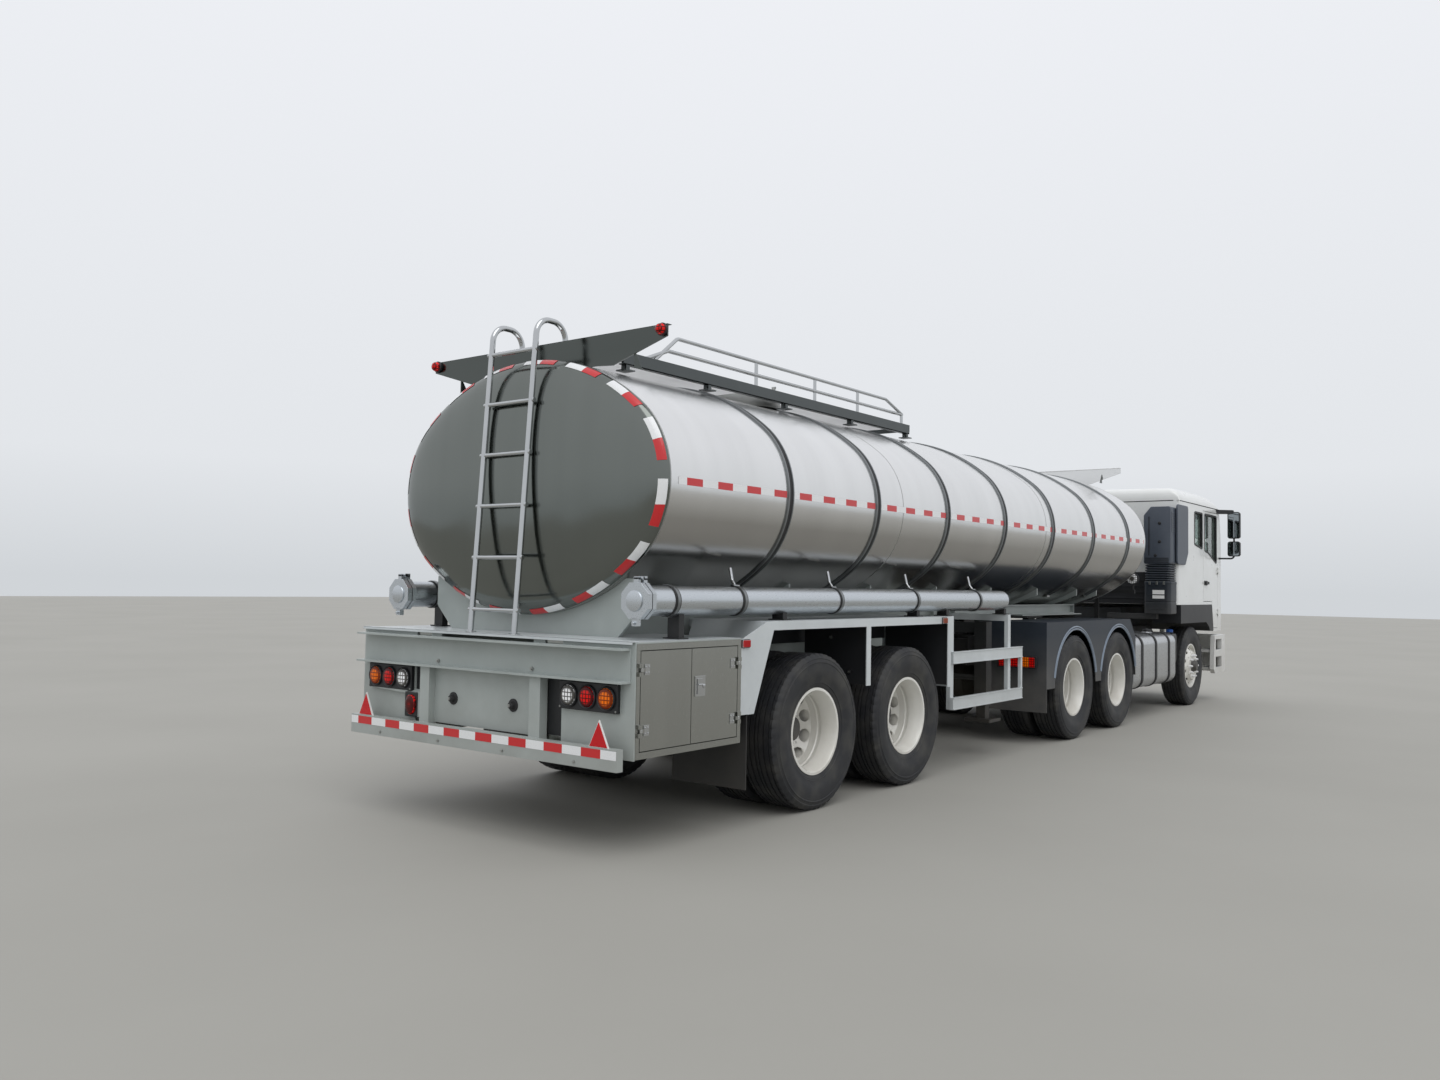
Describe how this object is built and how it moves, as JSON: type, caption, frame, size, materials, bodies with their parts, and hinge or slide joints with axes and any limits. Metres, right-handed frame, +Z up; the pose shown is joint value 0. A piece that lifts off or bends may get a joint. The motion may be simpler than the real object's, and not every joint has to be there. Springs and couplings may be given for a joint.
{
  "type": "articulated tank truck",
  "caption": "Forward-control tractor with tilting cab, coupled to a stainless tank semi-trailer that swings on its kingpin.",
  "frame": {"origin": "on the ground, midway between the front of the bumper and the rear of the trailer's bumper bar, on the centre line", "axes": "+X forward towards the cab, +Y to the driver's left, +Z up"},
  "size_m": [13.06, 3, 3.2858],
  "materials": {
    "tyre": "rough rubber",
    "silver_rim": "satin silver paint",
    "chassis": "satin paint",
    "cast": "dark casting",
    "greased_steel": "greased, worn",
    "cab_white": "gloss paint",
    "white_paint": "gloss paint",
    "black_plastic": "grained plastic",
    "grey_plastic": "grained plastic",
    "glass": "clear",
    "seat_fabric": "woven",
    "polished_aluminium": "polished",
    "stainless": "bright rolled sheet",
    "dark_band": "weathered",
    "frame_grey": "light grey paint"
  },
  "bodies": {
    "tractor": {"tractor_frame": "chassis", "fifth_wheel": "greased_steel", "tractor_axles": "cast", "engine_block": "cast", "fuel_tank": "polished_aluminium", "battery_box": "chassis", "air_filter": "grey_plastic", "drive_mudguards": "black_plastic", "front_bumper": "white_paint"},
    "cab": {"cab_shell": "cab_white", "cab_roof": "cab_white", "windscreen": "glass", "seats": "seat_fabric", "dashboard": "black_plastic", "snorkel": "grey_plastic", "wheel_arches": "black_plastic", "mirrors": "black_plastic"},
    "door_left": {"door_left": "cab_white", "door_glass_left": "glass"},
    "steer_knuckle_left": {"knuckle_left": "cast"},
    "wheel_front_left": {"tyre_front_left": "tyre", "rim_front_left": "silver_rim"},
    "wheels_drive_front_left": {"tyres_drive_front_left": "tyre", "rims_drive_front_left": "silver_rim"},
    "wheels_drive_rear_left": {"tyres_drive_rear_left": "tyre", "rims_drive_rear_left": "silver_rim"},
    "wheels_trailer_front_left": {"tyres_trailer_front_left": "tyre", "rims_trailer_front_left": "silver_rim"},
    "wheels_trailer_rear_left": {"tyres_trailer_rear_left": "tyre", "rims_trailer_rear_left": "silver_rim"},
    "door_right": {"door_right": "cab_white", "door_glass_right": "glass"},
    "steer_knuckle_right": {"knuckle_right": "cast"},
    "wheel_front_right": {"tyre_front_right": "tyre", "rim_front_right": "silver_rim"},
    "wheels_drive_front_right": {"tyres_drive_front_right": "tyre", "rims_drive_front_right": "silver_rim"},
    "wheels_drive_rear_right": {"tyres_drive_rear_right": "tyre", "rims_drive_rear_right": "silver_rim"},
    "wheels_trailer_front_right": {"tyres_trailer_front_right": "tyre", "rims_trailer_front_right": "silver_rim"},
    "wheels_trailer_rear_right": {"tyres_trailer_rear_right": "tyre", "rims_trailer_rear_right": "silver_rim"},
    "trailer": {"tank": "stainless", "tank_bands": "dark_band", "ladder_walkway": "polished_aluminium", "hose_tubes": "stainless", "trailer_frame": "frame_grey", "rear_deck": "frame_grey", "cabinets": "stainless", "side_guards": "frame_grey", "landing_gear": "frame_grey", "trailer_axles": "cast"},
    "manhole_lid": {"manhole_lid": "stainless"},
    "tube_cap_left": {"tube_cap_left": "stainless"},
    "cabinet_door_rear_left": {"cabinet_door_rear_left": "stainless"},
    "cabinet_door_front_left": {"cabinet_door_front_left": "stainless"},
    "tube_cap_right": {"tube_cap_right": "stainless"},
    "cabinet_door_rear_right": {"cabinet_door_rear_right": "stainless"},
    "cabinet_door_front_right": {"cabinet_door_front_right": "stainless"}
  },
  "joints": [
    {"name": "trailer_swing", "type": "hinge", "parent": "tractor", "child": "trailer", "pos_m": [1.25, 0, 1.25], "axis": [0, 0, 1], "range_deg": [-90, 90]},
    {"name": "cab_tilt", "type": "hinge", "parent": "tractor", "child": "cab", "pos_m": [6.38, 0, 0.62], "axis": [0, 1, 0], "range_deg": [0, 50]},
    {"name": "door_left_hinge", "type": "hinge", "parent": "cab", "child": "door_left", "pos_m": [6.206, 1.235, 1.55], "axis": [0, 0, -1], "range_deg": [0, 70]},
    {"name": "door_right_hinge", "type": "hinge", "parent": "cab", "child": "door_right", "pos_m": [6.206, -1.235, 1.55], "axis": [0, 0, 1], "range_deg": [0, 70]},
    {"name": "steer_left", "type": "hinge", "parent": "tractor", "child": "steer_knuckle_left", "pos_m": [5.05, 0.82, 0.535], "axis": [0, 0, 1], "range_deg": [-38, 38]},
    {"name": "wheel_front_left_spin", "type": "hinge", "parent": "steer_knuckle_left", "child": "wheel_front_left", "pos_m": [5.05, 1.03, 0.535], "axis": [0, 1, 0], "continuous": true},
    {"name": "steer_right", "type": "hinge", "parent": "tractor", "child": "steer_knuckle_right", "pos_m": [5.05, -0.82, 0.535], "axis": [0, 0, 1], "range_deg": [-38, 38]},
    {"name": "wheel_front_right_spin", "type": "hinge", "parent": "steer_knuckle_right", "child": "wheel_front_right", "pos_m": [5.05, -1.03, 0.535], "axis": [0, 1, 0], "continuous": true},
    {"name": "wheels_drive_front_left_spin", "type": "hinge", "parent": "tractor", "child": "wheels_drive_front_left", "pos_m": [1.75, 0.925, 0.535], "axis": [0, 1, 0], "continuous": true},
    {"name": "wheels_drive_front_right_spin", "type": "hinge", "parent": "tractor", "child": "wheels_drive_front_right", "pos_m": [1.75, -0.925, 0.535], "axis": [0, 1, 0], "continuous": true},
    {"name": "wheels_drive_rear_left_spin", "type": "hinge", "parent": "tractor", "child": "wheels_drive_rear_left", "pos_m": [0.4, 0.925, 0.535], "axis": [0, 1, 0], "continuous": true},
    {"name": "wheels_drive_rear_right_spin", "type": "hinge", "parent": "tractor", "child": "wheels_drive_rear_right", "pos_m": [0.4, -0.925, 0.535], "axis": [0, 1, 0], "continuous": true},
    {"name": "wheels_trailer_front_left_spin", "type": "hinge", "parent": "trailer", "child": "wheels_trailer_front_left", "pos_m": [-3.2, 0.91, 0.535], "axis": [0, 1, 0], "continuous": true},
    {"name": "wheels_trailer_front_right_spin", "type": "hinge", "parent": "trailer", "child": "wheels_trailer_front_right", "pos_m": [-3.2, -0.91, 0.535], "axis": [0, 1, 0], "continuous": true},
    {"name": "wheels_trailer_rear_left_spin", "type": "hinge", "parent": "trailer", "child": "wheels_trailer_rear_left", "pos_m": [-4.51, 0.91, 0.535], "axis": [0, 1, 0], "continuous": true},
    {"name": "wheels_trailer_rear_right_spin", "type": "hinge", "parent": "trailer", "child": "wheels_trailer_rear_right", "pos_m": [-4.51, -0.91, 0.535], "axis": [0, 1, 0], "continuous": true},
    {"name": "manhole_lid_hinge", "type": "hinge", "parent": "trailer", "child": "manhole_lid", "pos_m": [-4.08, 0, 3.09], "axis": [0, -1, 0], "range_deg": [0, 110]},
    {"name": "tube_cap_left_hinge", "type": "hinge", "parent": "trailer", "child": "tube_cap_left", "pos_m": [-6.236, 1.1, 1.562], "axis": [0, 1, 0], "range_deg": [0, 100]},
    {"name": "tube_cap_right_hinge", "type": "hinge", "parent": "trailer", "child": "tube_cap_right", "pos_m": [-6.236, -1.1, 1.562], "axis": [0, 1, 0], "range_deg": [0, 100]},
    {"name": "cabinet_door_rear_left_hinge", "type": "hinge", "parent": "trailer", "child": "cabinet_door_rear_left", "pos_m": [-6.3755, 1.261, 0.88], "axis": [0, 0, 1], "range_deg": [0, 110]},
    {"name": "cabinet_door_front_left_hinge", "type": "hinge", "parent": "trailer", "child": "cabinet_door_front_left", "pos_m": [-5.4775, 1.261, 0.88], "axis": [0, 0, -1], "range_deg": [0, 110]},
    {"name": "cabinet_door_rear_right_hinge", "type": "hinge", "parent": "trailer", "child": "cabinet_door_rear_right", "pos_m": [-6.3755, -1.261, 0.88], "axis": [0, 0, -1], "range_deg": [0, 110]},
    {"name": "cabinet_door_front_right_hinge", "type": "hinge", "parent": "trailer", "child": "cabinet_door_front_right", "pos_m": [-5.4775, -1.261, 0.88], "axis": [0, 0, 1], "range_deg": [0, 110]}
  ],
  "couplings": [
    {"joint": "steer_right", "follows": "steer_left", "ratio": 1}
  ]
}
